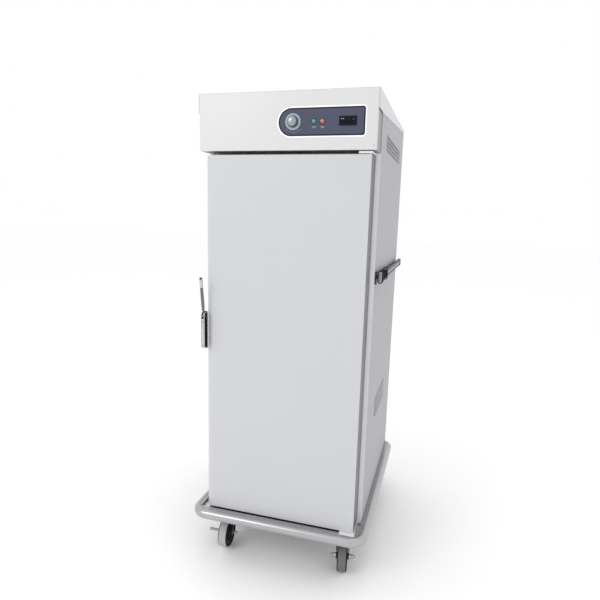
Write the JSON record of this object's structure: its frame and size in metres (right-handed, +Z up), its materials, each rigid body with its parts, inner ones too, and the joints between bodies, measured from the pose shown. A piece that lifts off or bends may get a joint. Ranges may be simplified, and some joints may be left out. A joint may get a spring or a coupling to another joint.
{
  "type": "proofing cabinet",
  "caption": "Tall insulated one-door proofing cabinet with a control head, side handles and a bumpered base on swivel casters.",
  "frame": {"origin": "on the floor, under the middle of the whole object's box", "axes": "+Z up, the door and control head face -Y, +X to the right of someone facing the door"},
  "size_m": [0.74, 0.977, 1.875],
  "materials": {
    "painted_sheet": "satin",
    "side_sheet": "satin",
    "dark_trim": "satin",
    "stainless": "satin",
    "bumper_alloy": "satin",
    "chrome_fittings": "polished",
    "glass_wool": "matte",
    "door_foam": "matte",
    "seal_rubber": "matte",
    "control_slate": "satin",
    "knob_plastic": "satin",
    "black_plastic": "satin",
    "lens_green": "gloss",
    "lens_red": "gloss",
    "vent_grey": "satin",
    "zinc_steel": "satin",
    "tread_grey": "matte",
    "wheel_black": "satin"
  },
  "bodies": {
    "cabinet": {"side_panel_left": "side_sheet", "side_panel_right": "side_sheet", "back_panel": "side_sheet", "top_cover": "painted_sheet", "inner_liner": "stainless", "insulation": "glass_wool", "face_frame": "stainless", "header_fascia": "painted_sheet", "header_chassis": "dark_trim", "control_plate": "control_slate", "thermostat_body": "black_plastic", "lamp_bezels": "chrome_fittings", "lamp_green": "lens_green", "lamp_red": "lens_red", "thermometer": "black_plastic", "bumper_rail": "bumper_alloy", "deck_plate": "stainless", "base_frame": "zinc_steel", "caster_plates": "zinc_steel", "hinge_brackets": "stainless", "hinge_pins": "chrome_fittings", "latch_strike": "chrome_fittings", "side_handles": "stainless", "handle_collars": "chrome_fittings", "handle_caps": "black_plastic", "side_vents": "vent_grey", "tray_rack_left": "stainless", "tray_rack_right": "stainless", "air_duct": "stainless", "fan_motor": "zinc_steel", "heater_element": "stainless", "cable_gland": "black_plastic", "screws": "chrome_fittings"},
    "knob": {"thermostat_knob": "knob_plastic"},
    "fan": {"fan_blade": "black_plastic"},
    "pan": {"water_pan": "stainless"},
    "door": {"door_skin": "painted_sheet", "door_edge_frame": "dark_trim", "door_core": "door_foam", "door_liner": "stainless", "door_gasket": "seal_rubber", "latch_base": "chrome_fittings", "latch_pin": "chrome_fittings"},
    "lever": {"latch_lever": "chrome_fittings"},
    "caster_fl_swivel_body": {"caster_fl_fork": "zinc_steel", "caster_fl_axle": "zinc_steel"},
    "caster_fl_wheel": {"caster_fl_hub": "wheel_black", "caster_fl_tyre": "tread_grey"},
    "caster_fr_swivel_body": {"caster_fr_fork": "zinc_steel", "caster_fr_axle": "zinc_steel"},
    "caster_fr_wheel": {"caster_fr_hub": "wheel_black", "caster_fr_tyre": "tread_grey"},
    "caster_rl_swivel_body": {"caster_rl_fork": "zinc_steel", "caster_rl_axle": "zinc_steel"},
    "caster_rl_wheel": {"caster_rl_hub": "wheel_black", "caster_rl_tyre": "tread_grey"},
    "caster_rr_swivel_body": {"caster_rr_fork": "zinc_steel", "caster_rr_axle": "zinc_steel"},
    "caster_rr_wheel": {"caster_rr_hub": "wheel_black", "caster_rr_tyre": "tread_grey"}
  },
  "joints": [
    {"name": "door_hinge", "type": "hinge", "parent": "cabinet", "child": "door", "pos_m": [0.3, -0.4205, 0.9], "axis": [0, 0, 1], "range_deg": [0, 180]},
    {"name": "latch_lever_pull", "type": "hinge", "parent": "door", "child": "lever", "pos_m": [-0.313, -0.4555, 1.046], "axis": [1, 0, 0], "range_deg": [0, 28], "stiffness_Nm_per_rad": 0.9, "springref_deg": -8.59},
    {"name": "thermostat_turn", "type": "hinge", "parent": "cabinet", "child": "knob", "pos_m": [0.0326, -0.4565, 1.769], "axis": [0, 1, 0], "range_deg": [0, 290]},
    {"name": "fan_spin", "type": "hinge", "parent": "cabinet", "child": "fan", "pos_m": [0, 0.3815, 1.34], "axis": [0, 1, 0], "continuous": true},
    {"name": "water_pan_slide", "type": "slide", "parent": "cabinet", "child": "pan", "axis": [0, -1, 0], "range_m": [0, 0.18]},
    {"name": "caster_fl_swivel", "type": "hinge", "parent": "cabinet", "child": "caster_fl_swivel_body", "pos_m": [-0.258, -0.3165, 0.145], "axis": [0, 0, 1], "continuous": true},
    {"name": "caster_fl_roll", "type": "hinge", "parent": "caster_fl_swivel_body", "child": "caster_fl_wheel", "pos_m": [-0.25634, -0.35446, 0.0625], "axis": [0.999, 0.0436, 0], "continuous": true},
    {"name": "caster_fr_swivel", "type": "hinge", "parent": "cabinet", "child": "caster_fr_swivel_body", "pos_m": [0.258, -0.3165, 0.145], "axis": [0, 0, 1], "continuous": true},
    {"name": "caster_fr_roll", "type": "hinge", "parent": "caster_fr_swivel_body", "child": "caster_fr_wheel", "pos_m": [0.26329, -0.35413, 0.0625], "axis": [0.9903, 0.1392, 0], "continuous": true},
    {"name": "caster_rl_swivel", "type": "hinge", "parent": "cabinet", "child": "caster_rl_swivel_body", "pos_m": [-0.258, 0.3215, 0.145], "axis": [0, 0, 1], "continuous": true},
    {"name": "caster_rl_roll", "type": "hinge", "parent": "caster_rl_swivel_body", "child": "caster_rl_wheel", "pos_m": [-0.24254, 0.28679, 0.0625], "axis": [0.9135, 0.4067, 0], "continuous": true},
    {"name": "caster_rr_swivel", "type": "hinge", "parent": "cabinet", "child": "caster_rr_swivel_body", "pos_m": [0.258, 0.3215, 0.145], "axis": [0, 0, 1], "continuous": true},
    {"name": "caster_rr_roll", "type": "hinge", "parent": "caster_rr_swivel_body", "child": "caster_rr_wheel", "pos_m": [0.23843, 0.28893, 0.0625], "axis": [0.8572, -0.515, 0], "continuous": true}
  ]
}
